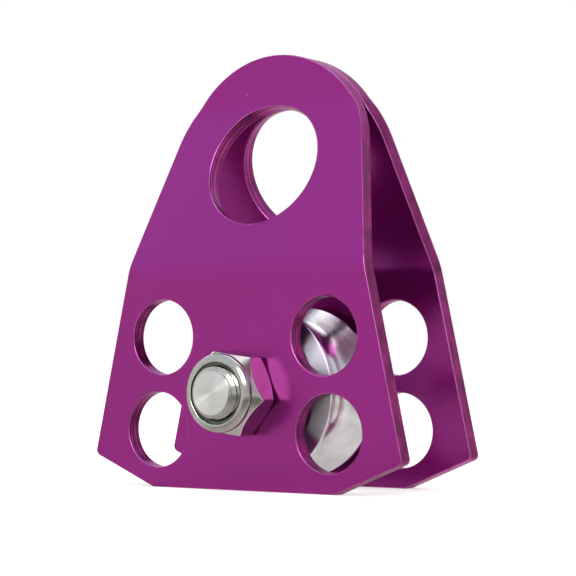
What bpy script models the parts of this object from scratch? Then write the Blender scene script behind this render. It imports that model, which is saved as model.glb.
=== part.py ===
# Prusik minding pulley: a turned sheave on a ball bearing, held by one bolt between two folded side plates.
# Units are metres. +Z is up, +X runs across the plates, and the bolt lies along Y with its nut towards -Y.
# The plates stand on their lower edges at z = 0, and the overall box is centred on x = 0 and y = 0.
# Every mesh is drawn about the axle: its Y axis is the bolt's axis and y = 0 is midway between the plates.

import math

import bmesh
import bpy
from mathutils import Vector

# Clearances that keep neighbouring solids apart
seat_gap = 0.0001
running_gap = 0.0001
top_gap = 0.0003
cutter_overshoot = 0.0010

# Bolt and bearing
bolt_radius = 0.00635
bolt_proud = 0.0019
bolt_end_chamfer = 0.0012
head_wall = 0.003175
head_height = 0.0079
head_washer_face = 0.0004
head_turned_by = 12.0
bearing_section = 0.00794
ball_share = 0.60
race_side = 0.00159
race_edge = 0.0004
shoulder_share = 0.44
ball_count = 8
shield_thickness = 0.0004
shield_inset = 0.0003
shield_seat = 0.0006
shield_dish = 0.0002
cage_wall = 0.0004
claw_share = 0.50

# Sheave
hub_wall = 0.0020
groove_depth = 0.0050
groove_flank_angle = math.radians(40)
rim_crest = 0.0013
rim_land = 0.0013
rim_edge = 0.0003
web_recess = 0.0012
hub_land = 0.0012
sheave_side_clearance = 0.0032
bearing_lip = 0.0014
clip_thickness = 0.0011
clip_depth = 0.0008
clip_band = 0.0018
clip_lug_radius = 0.0017
clip_eye_radius = 0.0006
clip_half_gap = math.radians(24)

# Side plates: a flat blank with round holes, folded twice
sheet = 0.0040
inside_width = 0.0274
foot_clearance = 0.0023
lower_bend_rise = 0.0308
bend_angle = math.radians(18.6)
bend_inner_radius = 0.0090
top_tab = 0.01137
eye_radius = 0.01587
crown_wall = 0.01273
eye_drop = 0.0004
widest_half_width = 0.0460
foot_half_width = 0.0272
corner_height = 0.0078
corner_rounding = 0.0015
plate_edge = 0.0003
side_hole_radius = 0.0093
upper_hole_reach = 0.0242
upper_hole_rise = 0.0136
lower_hole_reach = 0.0256
lower_hole_drop = 0.0093

# Lock nut with a nylon ring in its collar
nut_wall = 0.003175
nut_turned_by = -9.0
nut_base_chamfer = math.radians(35)
nut_base_relief = 0.0002
nut_corner_height = 0.0052
nut_cone_height = 0.0024
nut_neck_depth = 0.0005
nut_neck_height = 0.0003
collar_height = 0.0017
collar_rounding = 0.0010
collar_wall = 0.0015
collar_step = 0.0003
insert_wall = 0.0016
insert_height = 0.0017
insert_lip = 0.0005
lip_thickness = 0.0004

# Spacers and thrust washers
spacer_wall = 0.0025
spacer_flange_wall = 0.0046
spacer_flange_thickness = 0.0015
spacer_edge = 0.0003
washer_thickness = 0.0010
washer_wall = 0.0050

# Facets round a full circle
plate_hole_facets = 24
eye_facets = 36
crown_facets = 24
turned_facets = 32
sheave_facets = 40
inner_facets = 36
cage_facets = 24

# Places worked out from the sizes above
half_inside = inside_width / 2
plate_face = half_inside + sheet
bore_radius = bolt_radius + running_gap
bearing_outer_radius = bolt_radius + bearing_section
tread_radius = bearing_outer_radius + hub_wall
rim_radius = tread_radius + groove_depth
axle_height = rim_radius + foot_clearance
sheave_half_width = half_inside - sheave_side_clearance
pitch_radius = bolt_radius + bearing_section / 2
ball_radius = ball_share * bearing_section / 2
bearing_half_width = ball_radius + race_side
inner_shoulder = pitch_radius - ball_radius * (1 - shoulder_share)
outer_shoulder = pitch_radius + ball_radius * (1 - shoulder_share)
race_groove_radius = ball_radius + running_gap
nut_base = plate_face + seat_gap
collar_start = nut_corner_height + nut_cone_height + nut_neck_height
nut_height = collar_start + collar_step + collar_height
bolt_end = nut_base + nut_height + bolt_proud
head_base = plate_face + seat_gap
head_end = head_base + head_height
middle_y = (bolt_end - head_end) / 2


def surface(name, colour, roughness, metallic):
    """A plain finish for one kind of piece."""
    material = bpy.data.materials.new(name)
    material.use_nodes = True
    shader = material.node_tree.nodes["Principled BSDF"]
    shader.inputs["Base Color"].default_value = (*colour, 1.0)
    shader.inputs["Roughness"].default_value = roughness
    shader.inputs["Metallic"].default_value = metallic
    material.diffuse_color = (*colour, 1.0)
    return material


def arc(centre, radius, start, stop, steps):
    """Points on an arc between two angles in degrees, both ends included."""
    points = []
    for i in range(steps + 1):
        angle = math.radians(start + (stop - start) * i / steps)
        points.append((centre[0] + radius * math.cos(angle), centre[1] + radius * math.sin(angle)))
    return points


def circle(centre, radius, facets):
    """A clockwise ring of points, which a flat blank reads as a hole."""
    return arc(centre, radius, 360, 360 / facets, facets - 1)


def finish_mesh(bm, name):
    """Close, orient and shade a mesh, and return it as mesh data."""
    bmesh.ops.remove_doubles(bm, verts=bm.verts, dist=1e-7)
    bmesh.ops.recalc_face_normals(bm, faces=bm.faces)
    mesh = bpy.data.meshes.new(name)
    bm.to_mesh(mesh)
    bm.free()
    mesh.shade_smooth()
    mesh.set_sharp_from_angle(angle=math.radians(32))
    return mesh


def add(name, mesh, parent, material=None):
    """Put a mesh in the scene under its parent."""
    piece = bpy.data.objects.new(name, mesh)
    bpy.context.collection.objects.link(piece)
    piece.parent = parent
    if material:
        mesh.materials.clear()
        mesh.materials.append(material)
    return piece


def turn(name, profile, facets):
    """Spin a profile of (radius, y) points about Y. A profile that starts on the axis stays open."""
    bm = bmesh.new()
    verts = [bm.verts.new((radius, y, 0.0)) for radius, y in profile]
    edges = [bm.edges.new(pair) for pair in zip(verts, verts[1:])]
    if profile[0][0] > 0:
        edges.append(bm.edges.new((verts[-1], verts[0])))
    bmesh.ops.spin(bm, geom=verts + edges, cent=(0, 0, 0), axis=(0, 1, 0), angle=2 * math.pi,
                   steps=facets, use_merge=True)
    return finish_mesh(bm, name)


def blank(name, loops, thickness, edge=0.0):
    """Sheet of an outline with holes, drawn in x and y, with its edges broken. Thickness runs along z."""
    curve = bpy.data.curves.new(name, "CURVE")
    curve.dimensions = "2D"
    curve.fill_mode = "BOTH"
    curve.extrude = thickness / 2 - edge
    curve.bevel_depth = edge
    curve.bevel_resolution = 0
    curve.offset = -edge
    for points in loops:
        spline = curve.splines.new("POLY")
        spline.points.add(len(points) - 1)
        for point, (x, y) in zip(spline.points, points):
            point.co = (x, y, 0.0, 1.0)
        spline.use_cyclic_u = True
    source = bpy.data.objects.new(name, curve)
    bpy.context.collection.objects.link(source)
    graph = bpy.context.evaluated_depsgraph_get()
    mesh = bpy.data.meshes.new_from_object(source.evaluated_get(graph))
    bpy.data.objects.remove(source)
    bm = bmesh.new()
    bm.from_mesh(mesh)
    bpy.data.meshes.remove(mesh)
    bmesh.ops.remove_doubles(bm, verts=bm.verts, dist=1e-6)
    return bm


def stand_up(bm, middle):
    """Lay a blank's thickness along Y, centred on middle, with its y axis up."""
    for vert in bm.verts:
        vert.co = Vector((vert.co.x, middle - vert.co.z, vert.co.y))


def cutter(name, mesh, parent):
    """A hidden solid that only cuts."""
    piece = add(name, mesh, parent)
    piece.hide_render = True
    piece.display_type = "WIRE"
    return piece


def cut(piece, tool):
    """Take a cutter away from a piece."""
    modifier = piece.modifiers.new("cut_by_" + tool.name, "BOOLEAN")
    modifier.operation = "DIFFERENCE"
    modifier.solver = "EXACT"
    modifier.object = tool


def hexagon_cutter(name, across_flats, turned_by, low, high, parent):
    """A thick ring whose hole is a hexagon: it mills the flats on a turned blank between two heights."""
    corner = across_flats / math.sqrt(3)
    outside = arc((0, 0), 2 * corner, 0, 330, 11)
    flats = arc((0, 0), corner, turned_by, turned_by - 300, 5)
    bm = blank(name, [outside, flats], high - low)
    stand_up(bm, (low + high) / 2)
    return cutter(name, finish_mesh(bm, name), parent)


def fold_places():
    """Distances up the blank at which each bend starts and ends, and the blank's full length."""
    neutral = bend_inner_radius + sheet / 2
    bend_length = neutral * bend_angle
    inward = (half_inside + sheet / 2) - (top_gap / 2 + sheet / 2)
    slope = (inward - 2 * neutral * (1 - math.cos(bend_angle))) / math.sin(bend_angle)
    first = axle_height + lower_bend_rise - (neutral + sheet / 2) * math.tan(bend_angle / 2)
    second = first + bend_length + slope
    return first, first + bend_length, second, second + bend_length, second + bend_length + top_tab


def folded(s, out):
    """Place of a blank point, s up from the foot and out from mid-sheet, as (y, z) on the front plate."""
    first, first_end, second, second_end, _ = fold_places()
    neutral = bend_inner_radius + sheet / 2
    turned = min(max(s - first, 0.0), first_end - first) / neutral
    turned_back = min(max(s - second, 0.0), second_end - second) / neutral
    y = -half_inside - sheet / 2 + neutral * (1 - math.cos(turned))
    z = min(s, first) + neutral * math.sin(turned)
    on_slope = min(max(s - first_end, 0.0), second - first_end)
    y += on_slope * math.sin(bend_angle)
    z += on_slope * math.cos(bend_angle)
    lean = turned - turned_back
    y += neutral * (math.cos(lean) - math.cos(turned))
    z += neutral * (math.sin(turned) - math.sin(lean))
    z += max(s - second_end, 0.0)
    return y - out * math.cos(lean), z + out * math.sin(lean) - axle_height


def rounded_corner(before, corner, after, radius):
    """Three points that round a corner of an outline."""
    here = Vector(corner)
    back = (Vector(before) - here).normalized()
    ahead = (Vector(after) - here).normalized()
    half_turn = math.acos(max(-1.0, min(1.0, back.dot(ahead)))) / 2
    inset = radius / math.tan(half_turn)
    centre = here + (back + ahead).normalized() * radius / math.sin(half_turn)
    middle = centre + (here - centre).normalized() * radius
    return [tuple(here + back * inset), tuple(middle), tuple(here + ahead * inset)]


def plate_outline(length):
    """Blank outline: flat foot, sloping corners, straight tapered sides and a crown tangent to them."""
    crown_radius = eye_radius + crown_wall
    crown_centre = length - crown_radius
    reach = Vector((widest_half_width, corner_height - crown_centre))
    tangent = math.degrees(math.atan2(reach.y, reach.x) + math.acos(crown_radius / reach.length))
    crown = arc((0, crown_centre), crown_radius, tangent, 180 - tangent, crown_facets)
    foot = (foot_half_width, 0.0)
    corner = (widest_half_width, corner_height)
    right = rounded_corner((0, 0), foot, corner, corner_rounding)
    right += rounded_corner(foot, corner, crown[0], corner_rounding)
    left = [(-x, y) for x, y in reversed(right)]
    return right + crown + left


def plate_mesh():
    """The folded side plate."""
    first, first_end, second, second_end, length = fold_places()
    eye_centre = length - eye_radius - crown_wall - eye_drop
    loops = [plate_outline(length)]
    loops.append(circle((0, eye_centre), eye_radius, eye_facets))
    loops.append(circle((0, axle_height), bore_radius, plate_hole_facets))
    for side in (-1, 1):
        loops.append(circle((side * upper_hole_reach, axle_height + upper_hole_rise), side_hole_radius,
                            plate_hole_facets))
        loops.append(circle((side * lower_hole_reach, axle_height - lower_hole_drop), side_hole_radius,
                            plate_hole_facets))
    bm = blank("side_plate", loops, sheet, plate_edge)
    bend_steps = 3
    for start, end in ((first, first_end), (second, second_end)):
        for i in range(bend_steps + 1):
            line = start + (end - start) * i / bend_steps
            bmesh.ops.bisect_plane(bm, geom=bm.verts[:] + bm.edges[:] + bm.faces[:], dist=1e-7,
                                   plane_co=(0, line, 0), plane_no=(0, 1, 0))
    for vert in bm.verts:
        y, z = folded(vert.co.y, vert.co.z)
        vert.co = Vector((vert.co.x, y, z))
    bmesh.ops.triangulate(bm, faces=bm.faces)
    return finish_mesh(bm, "side_plate")


def side_plates(parent, material):
    """Two of the same plate, the rear one turned round, each swinging on the axle."""
    mesh = plate_mesh()
    add("front_side_plate", mesh, parent, material)
    rear = add("rear_side_plate", mesh, parent, material)
    rear.rotation_euler.z = math.pi


def axle_bolt(parent, material):
    """Hexagon bolt: head behind the rear plate, chamfered end proud of the nut."""
    half_flats = bolt_radius + head_wall
    corner = 2 * half_flats / math.sqrt(3)
    crown_drop = (corner - half_flats) * math.tan(math.radians(30))
    profile = [
        (0.0, -bolt_end),
        (bolt_radius - bolt_end_chamfer, -bolt_end),
        (bolt_radius, -bolt_end + bolt_end_chamfer),
        (bolt_radius, head_base),
        (half_flats - seat_gap, head_base),
        (half_flats - seat_gap, head_base + head_washer_face),
        (corner, head_base + head_washer_face),
        (corner, head_end - crown_drop),
        (half_flats, head_end),
        (0.0, head_end),
    ]
    bolt = add("axle_bolt", turn("axle_bolt", profile, turned_facets), parent, material)
    flats = hexagon_cutter("head_flats", 2 * half_flats, head_turned_by, head_base + head_washer_face,
                           head_end + cutter_overshoot, parent)
    cut(bolt, flats)


def lock_nut(parent, steel, nylon):
    """Thin hexagon nut: coned top, neck and rolled collar over a nylon ring."""
    half_flats = bolt_radius + nut_wall
    corner = 2 * half_flats / math.sqrt(3)
    base = half_flats - nut_base_relief
    neck = half_flats - nut_neck_depth
    ring = bolt_radius + insert_wall
    collar = ring + collar_wall
    floor = nut_height - insert_height - lip_thickness - seat_gap
    profile = [
        (bore_radius, 0.0),
        (base, 0.0),
        (corner, (corner - base) * math.tan(nut_base_chamfer)),
        (corner, nut_corner_height),
        (neck, nut_corner_height + nut_cone_height),
        (neck, collar_start),
        (collar, collar_start + collar_step),
    ]
    profile += arc((collar - collar_rounding, nut_height - collar_rounding), collar_rounding, 0, 90, 4)
    profile += [
        (ring - insert_lip + running_gap, nut_height),
        (ring - insert_lip, nut_height - running_gap),
        (ring - insert_lip, nut_height - lip_thickness),
        (ring + running_gap, nut_height - lip_thickness),
        (ring + running_gap, floor),
        (bore_radius, floor),
    ]
    placed = [(radius, -nut_base - height) for radius, height in profile]
    nut = add("lock_nut", turn("lock_nut", placed, turned_facets), parent, steel)
    flats = hexagon_cutter("nut_flats", 2 * half_flats, nut_turned_by, -nut_base - collar_start,
                           -nut_base + cutter_overshoot, parent)
    cut(nut, flats)
    low = -nut_base - floor - seat_gap
    high = low - insert_height + seat_gap
    insert = [(bore_radius, low), (ring, low), (ring, high), (bore_radius + insert_lip, high),
              (bore_radius, high + insert_lip)]
    add("nylon_insert", turn("nylon_insert", insert, turned_facets), parent, nylon)


def groove_profile():
    """Half of the rope groove from tread to rim: a round bottom that runs out into straight flanks."""
    mouth = sheave_half_width - rim_edge - rim_crest
    groove_radius = (mouth - groove_depth / math.tan(groove_flank_angle)) / math.tan(groove_flank_angle / 2)
    centre = (tread_radius + groove_radius, 0.0)
    bottom = arc(centre, groove_radius, 180, 180 - math.degrees(groove_flank_angle), 4)
    return bottom + [(rim_radius, mouth)]


def sheave(parent, material):
    """Turned wheel: rope groove, rim lands, recessed webs, and a bearing seat with a lip and clip groove."""
    seat = bearing_outer_radius + running_gap
    half = sheave_half_width
    web = half - web_recess
    right = groove_profile()
    clip_low = bearing_half_width + seat_gap
    clip_high = clip_low + clip_thickness + 2 * seat_gap
    clip_floor = bearing_outer_radius + clip_depth + running_gap
    lip = bearing_outer_radius - bearing_lip
    profile = [(radius, -y) for radius, y in reversed(right[1:])] + right
    profile += [
        (rim_radius, half - rim_edge),
        (rim_radius - rim_edge, half),
        (rim_radius - rim_edge - rim_land, half),
        (rim_radius - rim_edge - rim_land - web_recess / 2, web),
        (lip + hub_land, web),
        (lip, web - hub_land),
        (lip, bearing_half_width + seat_gap),
        (seat, bearing_half_width + seat_gap),
        (seat, -clip_low),
        (clip_floor, -clip_low),
        (clip_floor, -clip_high),
        (seat, -clip_high),
        (seat, -web + hub_land),
        (seat + hub_land, -web),
        (rim_radius - rim_edge - rim_land - web_recess / 2, -web),
        (rim_radius - rim_edge - rim_land, -half),
        (rim_radius - rim_edge, -half),
        (rim_radius, -half + rim_edge),
    ]
    return add("sheave", turn("sheave", profile, sheave_facets), parent, material)


def bearing_clip(parent, material):
    """Internal spring ring: a band that springs into the sheave's groove, with a plier eye at each end."""
    outer = bearing_outer_radius + clip_depth
    inner = outer - clip_band
    lug_centre = inner - clip_lug_radius / 2
    half_gap = math.degrees(clip_half_gap)
    lug_turn = math.degrees(clip_lug_radius / lug_centre)
    outline = arc((0, 0), outer, 90 + half_gap - lug_turn, 450 - half_gap + lug_turn, inner_facets)
    end_angle = math.radians(90 - half_gap)
    start_angle = math.radians(90 + half_gap)
    for angle, sign in ((end_angle, 1), (start_angle, -1)):
        centre = (lug_centre * math.cos(angle), lug_centre * math.sin(angle))
        facing = math.degrees(angle)
        if sign > 0:
            outline += arc(centre, clip_lug_radius, facing + 90, facing + 250, 8)
            outline += arc((0, 0), inner, 90 - half_gap - 1.6 * lug_turn, -270 + half_gap + 1.6 * lug_turn,
                           inner_facets)
        else:
            outline += arc(centre, clip_lug_radius, facing + 110, facing + 270, 8)
    loops = [outline]
    for angle in (end_angle, start_angle):
        centre = (lug_centre * math.cos(angle), lug_centre * math.sin(angle))
        loops.append(circle(centre, clip_eye_radius, 12))
    bm = blank("bearing_clip", loops, clip_thickness)
    stand_up(bm, -bearing_half_width - 2 * seat_gap - clip_thickness / 2)
    return add("bearing_clip", finish_mesh(bm, "bearing_clip"), parent, material)


def race_groove(side):
    """Ball track in a race, as (radius, y) points: side is 1 for the outer race and -1 for the inner."""
    shoulder = outer_shoulder if side > 0 else inner_shoulder
    rise = abs(shoulder - pitch_radius)
    half_track = math.degrees(math.acos(rise / race_groove_radius))
    middle = 0 if side > 0 else 180
    return arc((pitch_radius, 0.0), race_groove_radius, middle - half_track, middle + half_track, 7)


def bearing_races(sheave_parent, axle_parent, material):
    """Outer race with a step for each shield, and inner race on the bolt."""
    half = bearing_half_width
    step = outer_shoulder + shield_seat
    step_y = half - shield_inset - shield_thickness - seat_gap
    outer = race_groove(1)
    outer += [
        (outer_shoulder, step_y),
        (step, step_y),
        (step, half),
        (bearing_outer_radius - race_edge, half),
        (bearing_outer_radius, half - race_edge),
        (bearing_outer_radius, -half + race_edge),
        (bearing_outer_radius - race_edge, -half),
        (step, -half),
        (step, -step_y),
        (outer_shoulder, -step_y),
    ]
    add("bearing_outer_race", turn("bearing_outer_race", outer, inner_facets), sheave_parent, material)
    inner = race_groove(-1)
    inner += [
        (inner_shoulder, -half),
        (bore_radius + race_edge, -half),
        (bore_radius, -half + race_edge),
        (bore_radius, half - race_edge),
        (bore_radius + race_edge, half),
        (inner_shoulder, half),
    ]
    add("bearing_inner_race", turn("bearing_inner_race", inner, inner_facets), axle_parent, material)


def bearing_shields(parent, material):
    """Pressed ring on each side of the balls, dished inwards where it nears the inner race."""
    outer = outer_shoulder + shield_seat - running_gap
    inner = inner_shoulder + 2 * running_gap
    outside = bearing_half_width - shield_inset
    inside = outside - shield_thickness
    bend = (outer + inner) / 2
    for name, side in (("front_bearing_shield", -1), ("rear_bearing_shield", 1)):
        profile = [
            (outer, outside),
            (bend, outside),
            (inner, outside - shield_dish),
            (inner, inside - shield_dish),
            (bend, inside),
            (outer, inside),
        ]
        placed = [(radius, side * y) for radius, y in profile]
        add(name, turn(name, placed, inner_facets), parent, material)


def ball_set(parent, steel, nylon):
    """Crown cage with a round pocket for each ball, and the balls in it."""
    pocket = ball_radius + running_gap
    back = pocket + cage_wall
    outer = outer_shoulder - 2 * running_gap
    inner = inner_shoulder + 2 * running_gap
    claw = claw_share * ball_radius
    ring = [(outer, back), (inner, back), (inner, -claw), (outer, -claw)]
    cage = add("ball_cage", turn("ball_cage", ring, cage_facets), parent, nylon)
    pockets = bmesh.new()
    ball_mesh = bmesh.new()
    bmesh.ops.create_uvsphere(ball_mesh, u_segments=12, v_segments=8, radius=ball_radius)
    ball_mesh = finish_mesh(ball_mesh, "ball")
    for i in range(ball_count):
        angle = 2 * math.pi * i / ball_count
        place = Vector((pitch_radius * math.cos(angle), 0.0, pitch_radius * math.sin(angle)))
        made = bmesh.ops.create_uvsphere(pockets, u_segments=12, v_segments=8, radius=pocket)
        bmesh.ops.translate(pockets, verts=made["verts"], vec=place)
        ball = add("ball_" + str(i + 1), ball_mesh, parent, steel)
        ball.location = place
    cut(cage, cutter("cage_pockets", finish_mesh(pockets, "cage_pockets"), parent))


def spacers_and_washers(parent, metal, plastic):
    """Flanged spacer from the inner race to a thrust washer against the plate, on each side."""
    start = bearing_half_width + seat_gap
    washer_out = half_inside - seat_gap
    washer_in = washer_out - washer_thickness
    end = washer_in - seat_gap
    tube = bolt_radius + spacer_wall
    flange = bolt_radius + spacer_flange_wall
    washer = bolt_radius + washer_wall
    for place, side in (("front", -1), ("rear", 1)):
        profile = [
            (bore_radius, start),
            (tube - spacer_edge, start),
            (tube, start + spacer_edge),
            (tube, end - spacer_flange_thickness),
            (flange, end - spacer_flange_thickness),
            (flange, end - spacer_edge),
            (flange - spacer_edge, end),
            (bore_radius, end),
        ]
        placed = [(radius, side * y) for radius, y in profile]
        name = place + "_spacer"
        add(name, turn(name, placed, turned_facets), parent, metal)
        ring = [
            (bore_radius, washer_in),
            (washer, washer_in),
            (washer, washer_out),
            (bore_radius, washer_out),
        ]
        placed = [(radius, side * y) for radius, y in ring]
        name = place + "_thrust_washer"
        add(name, turn(name, placed, turned_facets), parent, plastic)


def joint_empty(name, parent, place=(0, 0, 0)):
    """A guide that carries the pieces turning together."""
    guide = bpy.data.objects.new(name, None)
    bpy.context.collection.objects.link(guide)
    guide.parent = parent
    guide.location = place
    guide.empty_display_size = 0.01
    return guide


def build():
    """Make every piece about the axle."""
    for old in list(bpy.data.objects):
        bpy.data.objects.remove(old)
    anodised = surface("plate_anodised", (0.32, 0.02, 0.24), 0.25, 1.0)
    plated = surface("fastener_steel", (0.62, 0.61, 0.57), 0.25, 1.0)
    nylon = surface("insert_nylon", (0.12, 0.14, 0.12), 0.45, 0.0)
    polished = surface("sheave_aluminium", (0.80, 0.80, 0.80), 0.15, 1.0)
    bearing = surface("bearing_steel", (0.56, 0.57, 0.58), 0.15, 1.0)
    caged = surface("cage_nylon", (0.55, 0.50, 0.38), 0.50, 0.0)
    spaced = surface("spacer_aluminium", (0.60, 0.61, 0.62), 0.30, 1.0)
    acetal = surface("washer_acetal", (0.80, 0.79, 0.75), 0.40, 0.0)

    axle = joint_empty("axle_centre", None, (0.0, middle_y, axle_height))
    sheave_turn = joint_empty("sheave_turn", axle)
    ball_turn = joint_empty("ball_turn", axle)

    side_plates(axle, anodised)
    axle_bolt(axle, plated)
    lock_nut(axle, plated, nylon)
    spacers_and_washers(axle, spaced, acetal)
    sheave(sheave_turn, polished)
    bearing_clip(sheave_turn, bearing)
    bearing_races(sheave_turn, axle, bearing)
    bearing_shields(sheave_turn, bearing)
    ball_set(ball_turn, bearing, caged)


build()
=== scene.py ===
# Rope pulley with two bent, anodised side plates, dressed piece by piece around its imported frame.
from math import acos, atan2, cos, degrees, hypot, pi, radians, sin, sqrt, tan

import bmesh
import bpy
from mathutils import Matrix, Vector
from mathutils.noise import noise


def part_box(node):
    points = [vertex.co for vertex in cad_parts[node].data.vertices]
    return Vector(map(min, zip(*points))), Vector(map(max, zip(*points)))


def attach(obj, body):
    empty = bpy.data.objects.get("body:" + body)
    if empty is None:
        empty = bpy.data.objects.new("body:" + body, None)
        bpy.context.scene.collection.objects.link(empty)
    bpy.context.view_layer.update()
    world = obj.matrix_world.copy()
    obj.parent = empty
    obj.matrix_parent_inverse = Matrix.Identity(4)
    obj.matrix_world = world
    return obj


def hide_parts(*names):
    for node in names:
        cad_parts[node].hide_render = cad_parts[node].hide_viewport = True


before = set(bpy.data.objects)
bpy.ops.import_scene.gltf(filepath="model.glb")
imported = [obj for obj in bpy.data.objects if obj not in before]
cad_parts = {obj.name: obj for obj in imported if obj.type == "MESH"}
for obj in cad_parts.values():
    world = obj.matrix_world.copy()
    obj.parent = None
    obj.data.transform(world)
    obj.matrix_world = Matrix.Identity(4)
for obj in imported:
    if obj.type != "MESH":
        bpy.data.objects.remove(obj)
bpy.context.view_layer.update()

sheaveLow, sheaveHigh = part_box("sheave")
axle = (sheaveLow + sheaveHigh) / 2  # every round piece is drawn about this point, with the bolt along Y
mm = 0.001
print("frame loaded, axle at", [round(value, 5) for value in axle])


# Drawing helpers

def newObject(name, data):
    made = bpy.data.objects.new(name, data)
    bpy.context.scene.collection.objects.link(made)
    return made


def meshFrom(bm, name):
    mesh = bpy.data.meshes.new(name)
    bm.to_mesh(mesh)
    bm.free()
    return mesh


def shapedMesh(item):  # what an object's curve or modifiers make of it
    return bpy.data.meshes.new_from_object(item.evaluated_get(bpy.context.evaluated_depsgraph_get()))


def arcPoints(centre, radius, start, stop, steps):  # angles in degrees, each point with its outward normal
    points = []
    for i in range(steps + 1):
        angle = radians(start + (stop - start) * i / steps)
        normal = Vector((cos(angle), sin(angle)))
        points.append((Vector(centre) + normal * radius, normal))
    return points


def rounded(corners, steps=4):  # corners (radius, y, fillet) become a smooth profile of (radius, y, edge)
    points = []
    count = len(corners)
    for i, (radius, y, fillet) in enumerate(corners):
        here = Vector((radius, y))
        before = Vector(corners[i - 1][:2]) - here
        after = Vector(corners[(i + 1) % count][:2]) - here
        if fillet <= 0 or before.length < 1e-9 or after.length < 1e-9:
            points.append((radius, y, 0.0))
            continue
        halfTurn = before.angle(after) / 2
        inset = min(fillet / tan(halfTurn), 0.48 * before.length, 0.48 * after.length)
        size = inset * tan(halfTurn)
        centre = here + (before.normalized() + after.normalized()).normalized() * (size / sin(halfTurn))
        first = here + before.normalized() * inset - centre
        last = here + after.normalized() * inset - centre
        marked = 1.0 if fillet < 0.5 * mm else 0.0  # only a small fillet counts as a broken edge
        for k in range(steps + 1):
            share = k / steps
            spoke = first.lerp(last, share).normalized() * size
            points.append((centre.x + spoke.x, centre.y + spoke.y, marked * sin(pi * share)))
    return points


def densified(points, step):  # extra points along the long stretches of a profile
    dense = []
    for i, point in enumerate(points):
        following = points[(i + 1) % len(points)]
        dense.append(point)
        gap = hypot(following[0] - point[0], following[1] - point[1])
        extra = int(gap / step)
        for k in range(1, extra + 1):
            share = k / (extra + 1)
            dense.append(tuple(point[j] + (following[j] - point[j]) * share for j in range(3)))
    return dense


def softMin(a, b, blend):  # the smaller of two, and how near the two are to each other
    share = max(0.0, min(1.0, 0.5 + 0.5 * (b - a) / blend))
    return b + (a - b) * share - blend * share * (1 - share), 4 * share * (1 - share)


def milled(radius, edge, angle, piece):  # a turned radius cut back to a hexagon with broken edges
    sector = (angle - piece["turn"]) % (pi / 3)
    near = piece["halfFlats"] / max(0.2, cos(sector))
    far = piece["halfFlats"] / max(0.2, cos(pi / 3 - sector))
    side, corner = softMin(near, far, piece["cornerBlend"])
    shaped, seam = softMin(radius, side, piece["seamBlend"])
    return shaped, max(edge, seam, corner if side < radius else 0.0)


def mirrored(corners):  # the same corners beyond y = 0, in reverse order
    return [(radius, -y, fillet) for radius, y, fillet in reversed(corners)]


def shadeByArea(mesh):  # big flat faces keep their own normal, and the fillets carry the turn
    normals = [Vector() for _ in mesh.vertices]
    for face in mesh.polygons:
        for index in face.vertices:
            normals[index] += face.normal * face.area
    mesh.shade_smooth()
    mesh.normals_split_custom_set_from_vertices([normal.normalized() for normal in normals])


def turnedMesh(name, profile, steps, shape=None):
    # A ring of quads for each step about Y. The profile is a closed loop, or starts and ends on the axis.
    # shape(radius, y, edge, angle) may change the radius, to mill flats or cut a thread.
    # edge is kept on each point for the materials, which paint a highlight there: 1 on a broken edge, 0 on a
    # plain face.
    bm = bmesh.new()
    edgeLayer = bm.verts.layers.float.new("edge")
    rings = []
    for i in range(steps):
        angle = 2 * pi * i / steps
        ring = []
        for radius, y, edge in profile:
            if radius < 1e-9:
                ring.append(None)
                continue
            if shape:
                radius, edge = shape(radius, y, edge, angle)
            vert = bm.verts.new((radius * cos(angle), y, radius * sin(angle)))
            vert[edgeLayer] = edge
            ring.append(vert)
        rings.append(ring)
    poles = {}
    for k, (radius, y, _) in enumerate(profile):
        if radius < 1e-9:
            poles[k] = bm.verts.new((0, y, 0))
    closed = not poles
    for i in range(steps):
        here, after = rings[i], rings[(i + 1) % steps]
        for k in range(len(profile) if closed else len(profile) - 1):
            follow = (k + 1) % len(profile)
            if k in poles:
                bm.faces.new((poles[k], after[follow], here[follow]))
            elif follow in poles:
                bm.faces.new((here[k], after[k], poles[follow]))
            else:
                bm.faces.new((here[k], after[k], after[follow], here[follow]))
    bmesh.ops.recalc_face_normals(bm, faces=bm.faces)
    mesh = meshFrom(bm, name)
    shadeByArea(mesh)
    return mesh


def sidedMesh(name, corners, side, steps):  # a ring drawn for the rear, which side -1 puts in front
    return turnedMesh(name, rounded([(radius, side * y, fillet) for radius, y, fillet in corners], 4), steps)


def dress(name, mesh, looks, body, node, offset=(0, 0, 0), turn=0.0):
    # A piece drawn about the axle is put there, given its materials, and stands in for a solid of the frame.
    piece = newObject(name, mesh)
    piece.location = axle + Vector(offset)
    piece.rotation_euler.z = turn
    for look in looks:
        mesh.materials.append(finishes[look])
    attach(piece, body)
    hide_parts(node)


# Shared effects, each a node group placed in the materials with their own values

def addNode(tree, kind, values=None, **settings):
    node = tree.nodes.new("ShaderNode" + kind)
    for key, value in settings.items():
        setattr(node, key, value)
    for key, value in (values or {}).items():
        node.inputs[key].default_value = value
    return node


def wire(tree, *pairs):  # each pair is an outlet and the inlet that it feeds
    for outlet, inlet in pairs:
        tree.links.new(outlet, inlet)


def calculate(tree, operation, a, b=None):  # a and b are sockets or numbers
    node = addNode(tree, "Math", operation=operation)
    for index, value in enumerate((a, b)):
        if isinstance(value, (int, float)):
            node.inputs[index].default_value = value
        elif value is not None:
            tree.links.new(value, node.inputs[index])
    return node.outputs[0]


def times(tree, a, b):
    return calculate(tree, "MULTIPLY", a, b)


def plus(tree, a, b):
    return calculate(tree, "ADD", a, b)


def remap(tree, value, fromLow, fromHigh, toLow=0.0, toHigh=1.0):
    limits = {"From Min": fromLow, "From Max": fromHigh, "To Min": toLow, "To Max": toHigh}
    node = addNode(tree, "MapRange", limits, interpolation_type="SMOOTHSTEP")
    tree.links.new(value, node.inputs["Value"])
    return node.outputs["Result"]


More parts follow.
